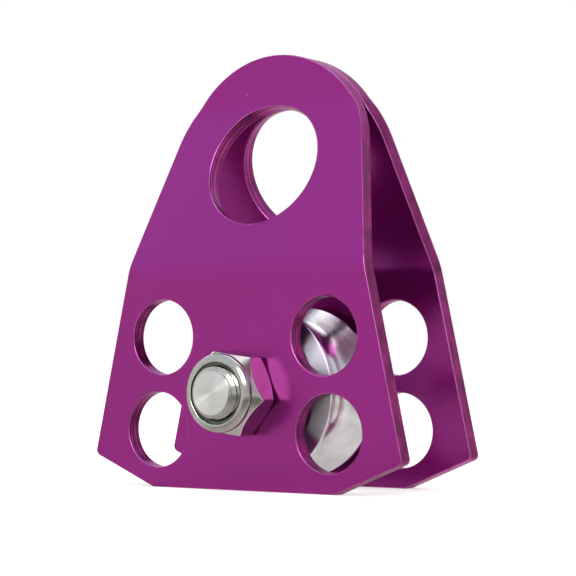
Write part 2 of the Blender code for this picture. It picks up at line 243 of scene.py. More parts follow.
def onPiece(tree, kind, values, scale=None):  # a texture that lies still on the piece; scale is a socket
    place = addNode(tree, "TexCoord")
    texture = addNode(tree, kind, values)
    tree.links.new(place.outputs["Object"], texture.inputs["Vector"])
    if scale is not None:
        tree.links.new(scale, texture.inputs["Scale"])
    return texture.outputs


def noiseAlong(tree, distance, roughness):  # a random level that changes along one distance only
    values = {"Detail": 3.0, "Roughness": roughness}
    level = addNode(tree, "TexNoise", values, noise_dimensions="1D")
    tree.links.new(distance, level.inputs["W"])
    return level.outputs[0]


def cloud(tree, scale, detail=3.0, roughness=0.6):  # a random level over the piece
    return onPiece(tree, "TexNoise", {"Detail": detail, "Roughness": roughness}, scale)[0]


def swing(tree, level, reach):  # a level about 0.5 becomes a swing about 0
    return times(tree, calculate(tree, "SUBTRACT", level, 0.5), reach)


def cloudyTone(group, inputs):  # slow change of tone over a surface
    level = cloud(group, inputs["Scale"], 4.0, 0.55)
    return {"Tone": plus(group, swing(group, level, inputs["Contrast"]), 0.5)}


def turnedMarks(group, inputs):  # the fine rings that a lathe tool leaves about the bolt's axis
    place = addNode(group, "TexCoord")
    split = addNode(group, "SeparateXYZ")
    group.links.new(place.outputs["Object"], split.inputs[0])
    x, y, z = split.outputs
    squares = plus(group, times(group, x, x), times(group, z, z))
    travel = plus(group, calculate(group, "SQRT", squares), y)
    rings = noiseAlong(group, times(group, travel, inputs["Rings"]), 0.7)
    return {"Height": rings, "Streak": remap(group, rings, 0.35, 0.75)}


def fineGrain(group, inputs):  # the small roughness of a blasted, moulded or etched skin
    grain = cloud(group, inputs["Scale"])
    return {"Height": grain, "Mask": remap(group, grain, 0.3, 0.7)}


def edgeHighlightMask(group, inputs):  # where an edge is broken, with a ragged border: the mask of the painted edge highlight
    stored = addNode(group, "Attribute", attribute_name="edge")
    shift = swing(group, cloud(group, inputs["Scale"]), inputs["Raggedness"])
    return {"Mask": remap(group, plus(group, stored.outputs["Fac"], shift), 0.55, 0.95)}


def specks(group, inputs):  # a few tiny bright pits in a smooth skin
    cells = onPiece(group, "TexVoronoi", {"Randomness": 1.0}, inputs["Scale"])
    tint = addNode(group, "SeparateColor")
    group.links.new(cells["Color"], tint.inputs[0])
    chosen = calculate(group, "LESS_THAN", tint.outputs[0], inputs["Share"])
    near = remap(group, cells["Distance"], 0.035, 0.06, 1.0, 0.0)
    return {"Mask": times(group, near, chosen)}


def wallStreaks(group, inputs):  # lines that run along a bored or sheared edge of the sheet
    stored = addNode(group, "Attribute", attribute_name="across")
    slow = onPiece(group, "TexNoise", {"Scale": 45.0, "Detail": 2.0})
    shift = times(group, slow[0], inputs["Drift"])
    across = plus(group, stored.outputs["Fac"], shift)
    lines = noiseAlong(group, times(group, across, inputs["Lines"]), 0.6)
    return {"Streak": remap(group, lines, 0.42, 0.62), "Height": lines}


def makeGroup(name, build, **values):  # values are the inputs, and build gives the outputs by name
    group = bpy.data.node_groups.new(name, "ShaderNodeTree")
    for label, value in values.items():
        socket = group.interface.new_socket(name=label, in_out="INPUT", socket_type="NodeSocketFloat")
        socket.default_value = value
    outlets = build(group, group.nodes.new("NodeGroupInput").outputs)
    for label in outlets:
        group.interface.new_socket(name=label, in_out="OUTPUT", socket_type="NodeSocketFloat")
    result = group.nodes.new("NodeGroupOutput")
    wire(group, *((outlet, result.inputs[label]) for label, outlet in outlets.items()))
    return group


effects = {
    "tone": makeGroup("cloudyTone", cloudyTone, Scale=60.0, Contrast=1.0),
    "turned": makeGroup("turnedMarks", turnedMarks, Rings=4000.0),
    "grain": makeGroup("fineGrain", fineGrain, Scale=3000.0),
    "edge": makeGroup("edgeHighlightMask", edgeHighlightMask, Raggedness=0.4, Scale=900.0),
    "specks": makeGroup("specks", specks, Scale=260.0, Share=0.1),
    "streaks": makeGroup("wallStreaks", wallStreaks, Lines=1500.0, Drift=0.0004),
}
print("shared effects:", ", ".join(effects))


# Materials

def startMaterial(name, finish):  # the values that stay the same all over the surface are set on the shader
    material = bpy.data.materials.new(name)
    material.use_nodes = True
    tree = material.node_tree
    shader = tree.nodes["Principled BSDF"]
    for label, value in finish.items():
        shader.inputs[label].default_value = value
    return material, tree, shader


def effect(tree, kind, **values):
    return addNode(tree, "Group", values, node_tree=effects[kind])


def mixColours(tree, factor, low, high):
    node = addNode(tree, "Mix", data_type="RGBA")
    tree.links.new(factor, node.inputs["Factor"])
    for index, value in ((6, low), (7, high)):  # the colour inlets A and B; outlet 2 is the colour
        if isinstance(value, tuple):
            node.inputs[index].default_value = (*value, 1.0)
        else:
            tree.links.new(value, node.inputs[index])
    return node.outputs[2]


def toned(tree, look, scale, contrast):  # a colour that drifts between the look's deep and light
    tone = effect(tree, "tone", Scale=scale, Contrast=contrast)
    return mixColours(tree, tone.outputs["Tone"], look["deep"], look["light"])


def laidOver(tree, colour, tint, kind, **values):  # the tint over a colour, where an effect's mask is
    return mixColours(tree, effect(tree, kind, **values).outputs["Mask"], colour, tint)


def surface(tree, shader, look, colour, marks, mask):  # its colour, and the gloss and relief of its marks
    relief = addNode(tree, "Bump", {"Distance": look["relief"], "Strength": 1.0})
    gloss = remap(tree, marks.outputs[mask], 0.0, 1.0, *look["roughness"])
    wire(tree, (colour, shader.inputs["Base Color"]), (gloss, shader.inputs["Roughness"]),
         (marks.outputs["Height"], relief.inputs["Height"]),
         (relief.outputs["Normal"], shader.inputs["Normal"]))


# edge is a lighter colour painted on the broken edges: a painted highlight
anodisedLook = {
    "deep": (0.266, 0.007, 0.189), "light": (0.306, 0.008, 0.224), "speck": (0.80, 0.40, 0.66),
    "edge": (0.48, 0.11, 0.38), "roughness": (0.30, 0.35), "relief": 1.5e-6,
}
walls = {  # the sheared outline of the sheet, and its bored holes
    "anodisedWall": {
        "deep": (0.060, 0.008, 0.028), "light": (0.430, 0.036, 0.230), "toneShare": 0.62, "lines": 750.0,
        "roughness": (0.38, 0.28), "relief": 4e-5,
    },
    "anodisedBore": {
        "deep": (0.055, 0.006, 0.030), "light": (0.540, 0.060, 0.340), "toneShare": 0.28, "lines": 500.0,
        "roughness": (0.34, 0.20), "relief": 4e-5,
    },
}


def anodisedFace():  # dyed oxide over a bright, lightly satin sheet
    material, tree, shader = startMaterial("anodisedFace", {
        "Metallic": 1.0, "Coat Weight": 0.52, "Coat Roughness": 0.20, "Coat IOR": 1.5})
    dyeAndEdgeHighlight = toned(tree, anodisedLook, 28.0, 1.3)
    dyeAndEdgeHighlight = laidOver(tree, dyeAndEdgeHighlight, anodisedLook["speck"], "specks", Scale=230.0, Share=0.10)
    # painted highlight: the lighter edge colour laid on the broken edges
    dyeAndEdgeHighlight = laidOver(tree, dyeAndEdgeHighlight, anodisedLook["edge"], "edge", Raggedness=0.2, Scale=500.0)
    surface(tree, shader, anodisedLook, dyeAndEdgeHighlight, effect(tree, "grain", Scale=2600.0), "Mask")
    return material


def anodisedWall(name, look):  # an edge of the sheet, sheared or bored: the same dyed colour on a rougher surface, with a painted highlight on its broken edges
    material, tree, shader = startMaterial(name, {
        "Metallic": 1.0, "Coat Weight": 0.12, "Coat Roughness": 0.35, "Coat IOR": 1.5,
        "Specular Tint": (0.86, 0.64, 0.80, 1.0)})
    tone = effect(tree, "tone", Scale=220.0, Contrast=2.4)
    streaks = effect(tree, "streaks", Lines=look["lines"], Drift=0.0012)
    clouds = times(tree, tone.outputs["Tone"], look["toneShare"])
    lines = times(tree, streaks.outputs["Streak"], 1 - look["toneShare"])
    dyeAndEdgeHighlight = mixColours(tree, plus(tree, clouds, lines), look["deep"], look["light"])
    # painted highlight: the lighter edge colour laid on the broken edges
    dyeAndEdgeHighlight = laidOver(tree, dyeAndEdgeHighlight, anodisedLook["edge"], "edge", Raggedness=0.3, Scale=700.0)
    surface(tree, shader, look, dyeAndEdgeHighlight, streaks, "Streak")
    return material


def machinedMetal(name, look):  # turned steel or aluminium: rings about the axis, soft tone, and a painted highlight on the broken edges
    material, tree, shader = startMaterial(name, {
        "Metallic": 1.0, "Anisotropic": look["anisotropy"], "Anisotropic Rotation": 0.25})
    colour = toned(tree, look, look["toneScale"], 1.4)
    # painted highlight: the lighter edge colour laid on the broken edges
    colour = laidOver(tree, colour, look["edge"], "edge", Raggedness=0.3, Scale=1200.0)
    surface(tree, shader, look, colour, effect(tree, "turned", Rings=look["rings"]), "Streak")
    if look["anisotropy"] > 0:
        tangent = addNode(tree, "Tangent", direction_type="RADIAL", axis="Y")
        tree.links.new(tangent.outputs[0], shader.inputs["Tangent"])
    return material


def mouldedPlastic(name, look):  # a soft tone and a finely grained skin
    material, tree, shader = startMaterial(name, {
        "Metallic": 0.0, "Subsurface Weight": look["glow"], "Subsurface Scale": 0.001, "IOR": 1.5})
    colour = toned(tree, look, look["toneScale"], 1.6)
    surface(tree, shader, look, colour, effect(tree, "grain", Scale=2200.0), "Mask")
    return material


# edge is a lighter colour painted on the broken edges as a highlight
metals = {
    "fastenerSteel": {
        "deep": (0.34, 0.335, 0.30), "light": (0.48, 0.475, 0.435), "edge": (0.74, 0.73, 0.69),
        "toneScale": 330.0, "rings": 5000.0, "relief": 6e-6, "roughness": (0.13, 0.27), "anisotropy": 0.0,
    },
    # the bolt's own steel on its turned end: real turned rings, and a colour painted lighter as a highlight
    "boltEndSteel": {
        "deep": (0.60, 0.595, 0.57), "light": (0.76, 0.755, 0.725), "edge": (0.80, 0.79, 0.76),
        "toneScale": 420.0, "rings": 9000.0, "relief": 4e-6, "roughness": (0.36, 0.46), "anisotropy": 0.92,
    },
    "chamferSteel": {
        "deep": (0.34, 0.335, 0.30), "light": (0.50, 0.495, 0.455), "edge": (0.70, 0.69, 0.66),
        "toneScale": 500.0, "rings": 6000.0, "relief": 6e-6, "roughness": (0.26, 0.44), "anisotropy": 0.5,
    },
    "polishedAluminium": {
        "deep": (0.60, 0.60, 0.59), "light": (0.82, 0.82, 0.81), "edge": (0.92, 0.92, 0.92),
        "toneScale": 320.0, "rings": 3500.0, "relief": 8e-6, "roughness": (0.10, 0.30), "anisotropy": 0.45,
    },
    "facedAluminium": {
        "deep": (0.56, 0.55, 0.60), "light": (0.70, 0.69, 0.74), "edge": (0.92, 0.92, 0.92),
        "toneScale": 300.0, "rings": 5000.0, "relief": 6e-6, "roughness": (0.39, 0.47), "anisotropy": 1.0,
    },
    "bearingSteel": {
        "deep": (0.50, 0.51, 0.52), "light": (0.62, 0.63, 0.64), "edge": (0.78, 0.78, 0.78),
        "toneScale": 120.0, "rings": 12000.0, "relief": 1e-6, "roughness": (0.10, 0.18), "anisotropy": 0.0,
    },
    "spacerAluminium": {
        "deep": (0.56, 0.57, 0.58), "light": (0.68, 0.68, 0.69), "edge": (0.82, 0.82, 0.82),
        "toneScale": 150.0, "rings": 5000.0, "relief": 4e-6, "roughness": (0.22, 0.36), "anisotropy": 0.0,
    },
}
plastics = {
    "insertNylon": {
        "deep": (0.060, 0.070, 0.055), "light": (0.125, 0.14, 0.11), "toneScale": 300.0,
        "roughness": (0.28, 0.42), "glow": 0.0, "relief": 1e-5,
    },
    "washerAcetal": {
        "deep": (0.70, 0.69, 0.65), "light": (0.82, 0.81, 0.77), "toneScale": 120.0,
        "roughness": (0.34, 0.46), "glow": 0.15, "relief": 1e-5,
    },
    "cageNylon": {
        "deep": (0.46, 0.41, 0.29), "light": (0.58, 0.53, 0.40), "toneScale": 160.0,
        "roughness": (0.40, 0.55), "glow": 0.15, "relief": 1e-5,
    },
}

finishes = {"anodisedFace": anodisedFace()}
for makeFinish, looks in ((anodisedWall, walls), (machinedMetal, metals), (mouldedPlastic, plastics)):
    for name, look in looks.items():
        finishes[name] = makeFinish(name, look)
print("materials:", len(finishes))


# Side plates: a flat blank with holes and a rounded edge all round, folded twice

plate = {
    "sheet": 4.0 * mm, "halfInside": 13.7 * mm, "topGap": 0.3 * mm,
    "footClearance": 23.59 * mm,  # from the foot up to the axle
    "lowerBendRise": 30.8 * mm, "bend": radians(18.6), "bendRadius": 9.0 * mm, "topTab": 11.37 * mm,
    "eyeRadius": 15.87 * mm, "crownWall": 12.73 * mm, "eyeDrop": 0.4 * mm,
    "widest": 46.0 * mm, "foot": 27.2 * mm, "cornerHeight": 7.8 * mm, "cornerRounding": 1.5 * mm,
    "holeRadius": 9.3 * mm, "upperHole": (24.2 * mm, 13.6 * mm), "lowerHole": (25.6 * mm, -9.3 * mm),
    "boreRadius": 6.45 * mm, "edge": 0.40 * mm,
    "edgeSteps": 4, "bendSteps": 10, "holeSteps": 96, "eyeSteps": 144, "crownSteps": 120, "footSteps": 8,
    "shoulderSteps": 10,
}
neutral = plate["bendRadius"] + plate["sheet"] / 2


def foldPlaces():  # distances up the blank where each bend starts and ends, and its full length
    bendLength = neutral * plate["bend"]
    inward = plate["halfInside"] - plate["topGap"] / 2
    slope = (inward - 2 * neutral * (1 - cos(plate["bend"]))) / sin(plate["bend"])
    setBack = (neutral + plate["sheet"] / 2) * tan(plate["bend"] / 2)
    first = plate["footClearance"] + plate["lowerBendRise"] - setBack
    second = first + bendLength + slope
    return first, first + bendLength, second, second + bendLength, second + bendLength + plate["topTab"]


def foldPoint(along, out):  # a blank point on the front plate as (y, z) from the axle, and how far it leans
    first, firstEnd, second, secondEnd, _ = foldPlaces()
    turned = min(max(along - first, 0.0), firstEnd - first) / neutral
    turnedBack = min(max(along - second, 0.0), secondEnd - second) / neutral
    onSlope = min(max(along - firstEnd, 0.0), second - firstEnd)
    lean = turned - turnedBack
    y = -plate["halfInside"] - plate["sheet"] / 2 + neutral * (1 - cos(turned))
    y += onSlope * sin(plate["bend"]) + neutral * (cos(lean) - cos(turned))
    z = min(along, first) + neutral * sin(turned) + onSlope * cos(plate["bend"])
    z += neutral * (sin(turned) - sin(lean)) + max(along - secondEnd, 0.0)
    return y - out * cos(lean), z + out * sin(lean) - plate["footClearance"], lean


def roundCorner(before, corner, after, radius, steps):  # an arc that rounds a corner, with its normals
    here = Vector(corner)
    back = (Vector(before) - here).normalized()
    ahead = (Vector(after) - here).normalized()
    halfTurn = back.angle(ahead) / 2
    centre = here + (back + ahead).normalized() * radius / sin(halfTurn)
    start = (here + back * radius / tan(halfTurn) - centre).normalized()
    stop = (here + ahead * radius / tan(halfTurn) - centre).normalized()
    points = []
    for i in range(steps + 1):
        normal = start.slerp(stop, i / steps)
        points.append((centre + normal * radius, normal))
    return points


def plateOutline(length):
    crownRadius = plate["eyeRadius"] + plate["crownWall"]
    crownCentre = length - crownRadius
    reach = Vector((plate["widest"], plate["cornerHeight"] - crownCentre))
    tangent = degrees(atan2(reach.y, reach.x) + acos(crownRadius / reach.length))
    crown = arcPoints((0, crownCentre), crownRadius, tangent, 180 - tangent, plate["crownSteps"])
    foot, corner = (plate["foot"], 0.0), (plate["widest"], plate["cornerHeight"])
    right = roundCorner((0, 0), foot, corner, plate["cornerRounding"], plate["footSteps"])
    right += roundCorner(foot, corner, crown[0][0], plate["cornerRounding"], plate["shoulderSteps"])
    left = [(Vector((-point.x, point.y)), Vector((-normal.x, normal.y))) for point, normal in reversed(right)]
    return right + crown + left


def holeLoop(centre, radius, steps):  # the normal points away from the metal, into the hole
    ring = arcPoints(centre, radius, 360, 360 / steps, steps - 1)
    return [(point, -normal) for point, normal in ring]


def plateMesh():
    first, firstEnd, second, secondEnd, length = foldPlaces()
    eyeCentre = length - plate["eyeRadius"] - plate["crownWall"] - plate["eyeDrop"]
    loops = [plateOutline(length)]
    loops.append(holeLoop((0, eyeCentre), plate["eyeRadius"], plate["eyeSteps"]))
    loops.append(holeLoop((0, plate["footClearance"]), plate["boreRadius"], plate["holeSteps"]))
    for side in (-1, 1):
        for reach, rise in (plate["upperHole"], plate["lowerHole"]):
            centre = (side * reach, plate["footClearance"] + rise)
            loops.append(holeLoop(centre, plate["holeRadius"], plate["holeSteps"]))

    edge, half, steps = plate["edge"], plate["sheet"] / 2, plate["edgeSteps"]
    turns = [90 - 90 * i / steps for i in range(steps + 1)]
    turns += [-turn for turn in reversed(turns)]
    bm = bmesh.new()
    normalLayer = bm.verts.layers.float_vector.new("blankNormal")
    edgeLayer = bm.verts.layers.float.new("edge")
    acrossLayer = bm.verts.layers.float.new("across")
    caps = [[], []]
    for loop in loops:
        rings = []
        for k, turn in enumerate(turns):
            angle = radians(turn)
            side = 1 if k <= steps else -1
            ring = []
            for point, normal in loop:
                spot = point - normal * edge * (1 - cos(angle))
                vert = bm.verts.new((spot.x, spot.y, side * (half - edge) + edge * sin(angle)))
                vert[normalLayer] = (normal.x * cos(angle), normal.y * cos(angle), sin(angle))
                # the mask of the painted edge highlight: 1 halfway round the rounded edge, 0 on the faces and
                # the wall
                vert[edgeLayer] = sin(2 * abs(angle))
                vert[acrossLayer] = vert.co.z
                ring.append(vert)
            rings.append(ring)
        for upper, lower in zip(rings, rings[1:]):
            for i in range(len(loop)):
                j = (i + 1) % len(loop)
                face = bm.faces.new((upper[i], upper[j], lower[j], lower[i]))
                face.material_index = 1 if loop is loops[0] else 2  # the sheared outline, or a bored hole
        for ring, cap in ((rings[0], caps[0]), (rings[-1], caps[1])):
            for i in range(len(loop)):
                cap.append(bm.edges.get((ring[i], ring[(i + 1) % len(loop)])))
    for cap, direction in ((caps[0], 1), (caps[1], -1)):
        bmesh.ops.triangle_fill(bm, use_beauty=True, edges=cap, normal=(0, 0, direction))
    for start, stop in ((first, firstEnd), (second, secondEnd)):
        for i in range(plate["bendSteps"] + 1):
            line = start + (stop - start) * i / plate["bendSteps"]
            bmesh.ops.bisect_plane(bm, geom=bm.verts[:] + bm.edges[:] + bm.faces[:], dist=1e-8,
                                   plane_co=(0, line, 0), plane_no=(0, 1, 0))
    bmesh.ops.triangulate(bm, faces=[face for face in bm.faces if len(face.verts) > 4])
    normals = []
    for vert in bm.verts:
        y, z, lean = foldPoint(vert.co.y, vert.co.z)
        vert.co = Vector((vert.co.x, y, z))
        nx, along, out = vert[normalLayer]
        normals.append(Vector((nx, along * sin(lean) - out * cos(lean),
                               along * cos(lean) + out * sin(lean))).normalized())
    bmesh.ops.recalc_face_normals(bm, faces=bm.faces)
    bm.verts.layers.float_vector.remove(normalLayer)
    mesh = meshFrom(bm, "sidePlate")
    mesh.shade_smooth()
    mesh.normals_split_custom_set_from_vertices(normals)
    return mesh


sidePlate = plateMesh()
plateLooks = ("anodisedFace", "anodisedWall", "anodisedBore")
dress("front_plate_panel", sidePlate, plateLooks, "front_plate", "front_side_plate")
dress("rear_plate_panel", sidePlate, (), "axle_and_rear_plate", "rear_side_plate",
      turn=pi)  # the same mesh, turned round to face the other way
print("side plates:", len(sidePlate.polygons), "faces each")


# Bolt: hexagon head at the back, a rolled thread and a turned, chamfered end in front

plateFaceAt = plate["halfInside"] + plate["sheet"]
bolt = {
    "radius": 6.35 * mm, "end": 29.6 * mm, "endRadius": 5.20 * mm, "chamfer": 1.1 * mm,
    "tipRounding": 0.12 * mm, "pitch": 25.4 / 13 * mm, "threadDepth": 1.05 * mm, "threadLength": 11.0 * mm,
    "runOut": 1.5 * mm, "halfFlats": 9.525 * mm, "turn": radians(42), "washerFace": 0.4 * mm,
    "washerInset": 0.1 * mm, "headBase": plateFaceAt + 0.1 * mm, "headEnd": 25.7 * mm,
    "crownSlope": radians(30), "threadBlend": 0.10 * mm, "cornerBlend": 0.25 * mm,
    "seamBlend": 0.22 * mm, "steps": 180, "threadStep": 0.09 * mm, "headStep": 0.16 * mm,
}


def threadRadius(y, angle):  # a V thread with a narrow crest and a round root
    phase = ((y + bolt["end"]) / bolt["pitch"] + angle / (2 * pi)) % 1.0
    climb = abs(2 * phase - 1)  # 0 in the root, 1 on the crest
    return bolt["radius"] - bolt["threadDepth"] * (1 - min(1.0, max(0.0, (climb - 0.12) / 0.74)))


def boltShape(radius, y, edge, angle):
    threadStop = -bolt["end"] + bolt["threadLength"]
    if y < threadStop and radius > bolt["endRadius"] * 1.001:
        depthShare = min(1.0, max(0.0, (threadStop - y) / bolt["runOut"]))
        thread = bolt["radius"] + (threadRadius(y, angle) - bolt["radius"]) * depthShare
        return softMin(radius, thread, bolt["threadBlend"])
    if y > bolt["headBase"] + bolt["washerFace"] * 0.5 and radius > bolt["radius"] * 1.2:
        return milled(radius, edge, angle, bolt)
    return radius, edge


def boltMesh():
    tip, base, top, flats = -bolt["end"], bolt["headBase"], bolt["headEnd"], bolt["halfFlats"]
    corner = 2 * flats / sqrt(3)
    drop = (corner - flats) * tan(bolt["crownSlope"])
    profile = [(0.0, tip, 0.0)]
    profile += rounded([
        (bolt["endRadius"] * 0.5, tip, 0.0),
        (bolt["endRadius"], tip, bolt["tipRounding"]),
        (bolt["radius"] + 0.02 * mm, tip + bolt["chamfer"], 0.0),
    ])[1:-1]
    for i in range(1, int(bolt["threadLength"] / bolt["threadStep"]) + 4):
        y = tip + bolt["tipRounding"] + i * bolt["threadStep"]
        share = min(1.0, (y - tip) / bolt["chamfer"])
        profile.append((bolt["endRadius"] + (bolt["radius"] - bolt["endRadius"]) * share, y, 0.0))
    head = rounded([
        (bolt["radius"], 0.0, 0.0),
        (bolt["radius"], base, 0.3 * mm),
        (flats - bolt["washerInset"], base, 0.08 * mm),
        (flats - bolt["washerInset"], base + bolt["washerFace"], 0.0),
        (corner, base + bolt["washerFace"] * 1.3, 0.1 * mm),
        (corner, top - drop, 0.2 * mm),
        (flats * 0.97, top, 0.25 * mm),
        (flats * 0.5, top, 0.0),
    ], 3)[1:-1]
    dense = densified(head, bolt["headStep"])
    profile += dense[:dense.index(head[-1]) + 1]
    profile.append((0.0, top, 0.0))
    return turnedMesh("axleBolt", profile, bolt["steps"], boltShape)


axleBolt = boltMesh()
for face in axleBolt.polygons:  # the turned end and its chamfer have their own finish; the end's colour is also painted lighter, as a highlight
    if face.center.y < -bolt["end"] + 0.02 * mm:
        face.material_index = 1
    elif face.center.y < -bolt["end"] + bolt["chamfer"] * 1.2:
        face.material_index = 2
boltLooks = ("fastenerSteel", "boltEndSteel", "chamferSteel")
dress("bolt_with_thread", axleBolt, boltLooks, "axle_and_rear_plate", "axle_bolt")
print("bolt:", len(axleBolt.polygons), "faces")


# Lock nut: hexagon, coned top, neck, and a collar rolled over the nylon ring

nut = {
    "halfFlats": 9.525 * mm, "turn": radians(21), "bore": 6.45 * mm, "baseChamfer": radians(35),
    "cornerHeight": 5.2 * mm, "coneTop": 7.6 * mm, "neck": 9.025 * mm, "neckTop": 7.8 * mm,
    "collar": 9.45 * mm, "collarStart": 8.05 * mm, "top": 10.1 * mm, "collarRounding": 1.2 * mm,
    "shoulder": 0.90 * mm, "lipMiddle": 8.20 * mm, "lipRounding": 0.45 * mm, "lipWave": 0.13 * mm,
    "lipDrop": 0.06 * mm, "lipDome": 2.4 * mm, "ring": 7.95 * mm, "lipInner": 7.40 * mm, "lip": 0.70 * mm,
    "floor": 7.7 * mm, "base": plateFaceAt + 0.1 * mm, "cornerBlend": 0.30 * mm, "seamBlend": 0.20 * mm,
    "steps": 360, "profileStep": 0.16 * mm,
}


def nutShape(radius, y, edge, angle):
    height = -y - nut["base"]
    if height < nut["neckTop"] - 0.1 * mm and radius > nut["bore"] * 1.05:
        return milled(radius, edge, angle, nut)
    if height > nut["top"] - nut["lip"] - 0.05 * mm and radius < nut["lipMiddle"]:
        # the lip is rolled, not cut, so it waves a little
        wave = noise(Vector((3 * cos(angle), 3 * sin(angle), 0.0)))
        wave += 0.6 * noise(Vector((9 * cos(angle), 9 * sin(angle), 7.0)))
        return radius + nut["lipWave"] * wave, edge
    return radius, edge


def inNut(profile, step):  # heights above the nut's seat become places along the bolt
    return [(radius, -nut["base"] - height, edge) for radius, height, edge in densified(profile, step)]


def nutMesh():
    corner = 2 * nut["halfFlats"] / sqrt(3) + 0.1 * mm
    base, top, ring = nut["halfFlats"] - 0.2 * mm, nut["top"], nut["ring"] + 0.1 * mm
    profile = rounded([
        (nut["bore"], 0.0, 0.25 * mm),
        (base, 0.0, 0.1 * mm),
        (corner, (corner - base) * tan(nut["baseChamfer"]), 0.1 * mm),
        (corner, nut["cornerHeight"], 0.0),
        (nut["neck"], nut["coneTop"], 0.25 * mm),
        (nut["neck"], nut["neckTop"], 0.15 * mm),
        (nut["collar"], nut["collarStart"], 0.15 * mm),
        (nut["collar"], top - nut["shoulder"], nut["collarRounding"]),
        (nut["lipMiddle"], top - nut["lipDrop"], nut["lipDome"]),
        (nut["lipInner"], top, nut["lipRounding"]),
        (nut["lipInner"], top - nut["lip"], 0.1 * mm),
        (ring, top - nut["lip"], 0.0),
        (ring, nut["floor"], 0.0),
        (nut["bore"], nut["floor"], 0.2 * mm),
    ], 8)
    return turnedMesh("lockNut", inNut(profile, nut["profileStep"]), nut["steps"], nutShape)


lockNut = nutMesh()
dress("nut_with_collar", lockNut, ("fastenerSteel",), "axle_and_rear_plate", "lock_nut")
print("nut:", len(lockNut.polygons), "faces")


# Nylon ring in the collar, bitten by the thread

insert = {
    "outer": 7.92 * mm, "inner": 6.42 * mm, "low": 7.8 * mm, "high": 9.26 * mm, "bite": 0.40 * mm,
    "threadSwell": 0.04 * mm, "steps": 180, "profileStep": 0.2 * mm,
}


def insertShape(radius, y, edge, angle):  # the bore follows the thread that it was forced over
    if radius < bolt["radius"] + 0.15 * mm:
        swell = insert["threadSwell"] * sin(2 * pi * (y / bolt["pitch"]) + angle)
        return radius + swell, edge
    return radius, edge


def insertMesh():
    profile = rounded([
        (insert["inner"], insert["low"], 0.1 * mm),
        (insert["outer"], insert["low"], 0.15 * mm),
        (insert["outer"], insert["high"], 0.1 * mm),
        (insert["inner"] + insert["bite"], insert["high"], 0.25 * mm),
        (insert["inner"], insert["high"] - insert["bite"], 0.2 * mm),
    ], 5)
    return turnedMesh("nylonInsert", inNut(profile, insert["profileStep"]), insert["steps"], insertShape)


dress("nylon_lock_ring", insertMesh(), ("insertNylon",), "axle_and_rear_plate", "nylon_insert")
print("nylon ring done")


# Sheave: turned wheel with a wide rope groove

wheel = {
    "rim": 21.29 * mm, "tread": 16.29 * mm, "half": 10.5 * mm, "crest": 1.3 * mm, "rimEdge": 0.3 * mm,
    "flank": radians(40), "land": 4.2 * mm, "landSlope": 0.6 * mm, "dome": 0.45 * mm, "recess": 1.2 * mm,
    "hubLand": 1.2 * mm, "grooveSteps": 16,
    "seat": 14.39 * mm, "lip": 12.89 * mm, "bearingHalf": 3.972 * mm, "seatGap": 0.1 * mm,
    "clip": 1.1 * mm, "clipDepth": 0.8 * mm, "steps": 320,
}


def sheaveMesh():
    mouth = wheel["half"] - wheel["rimEdge"] - wheel["crest"]
    depth = wheel["rim"] - wheel["tread"]
    grooveRadius = (mouth - depth / tan(wheel["flank"])) / tan(wheel["flank"] / 2)
    bottom = []
    for i in range(-wheel["grooveSteps"], wheel["grooveSteps"] + 1):
        angle = wheel["flank"] * i / wheel["grooveSteps"]
        rise = grooveRadius * (1 - cos(angle))
        bottom.append((wheel["tread"] + rise, grooveRadius * sin(angle), 0.0))
    half, web, hub = wheel["half"], wheel["half"] - wheel["recess"], wheel["hubLand"]
    seat, lip, clipFloor = wheel["seat"], wheel["lip"], wheel["seat"] + wheel["clipDepth"]
    clipLow = wheel["bearingHalf"] + wheel["seatGap"]
    clipHigh = clipLow + wheel["clip"] + 2 * wheel["seatGap"]
    landIn = wheel["rim"] - wheel["rimEdge"] - wheel["land"]
    side = [
        (wheel["rim"], mouth, 0.35 * mm),
        (wheel["rim"], half - wheel["dome"], 0.45 * mm),
        (landIn, half, 0.15 * mm),
        (landIn - wheel["landSlope"], web, 0.4 * mm),
    ]
    rearHub = [
        (lip + hub, web, 0.2 * mm),
        (lip, web - hub, 0.15 * mm),
        (lip, clipLow, 0.1 * mm),
        (seat, clipLow, 0.0),
    ]
    frontHub = [
        (seat, -clipLow, 0.0),
        (clipFloor, -clipLow, 0.05 * mm),
        (clipFloor, -clipHigh, 0.05 * mm),
        (seat, -clipHigh, 0.1 * mm),
        (seat, -web + hub, 0.15 * mm),
        (seat + hub, -web, 0.2 * mm),
    ]
    corners = bottom + side + rearHub + frontHub + mirrored(side)
    return turnedMesh("ropeSheave", rounded(corners, 5), wheel["steps"])


ropeSheave = sheaveMesh()
for face in ropeSheave.polygons:  # the sides are faced off, the groove is polished
    if abs(face.center.y) > wheel["half"] - wheel["recess"] - 0.1 * mm and abs(face.normal.y) > 0.4:
        face.material_index = 1
sheaveLooks = ("polishedAluminium", "facedAluminium")
dress("turned_sheave", ropeSheave, sheaveLooks, "sheave_group", "sheave")
print("sheave:", len(ropeSheave.polygons), "faces")


# Ball bearing: races, shields, cage and balls, and the clip that keeps it in the sheave

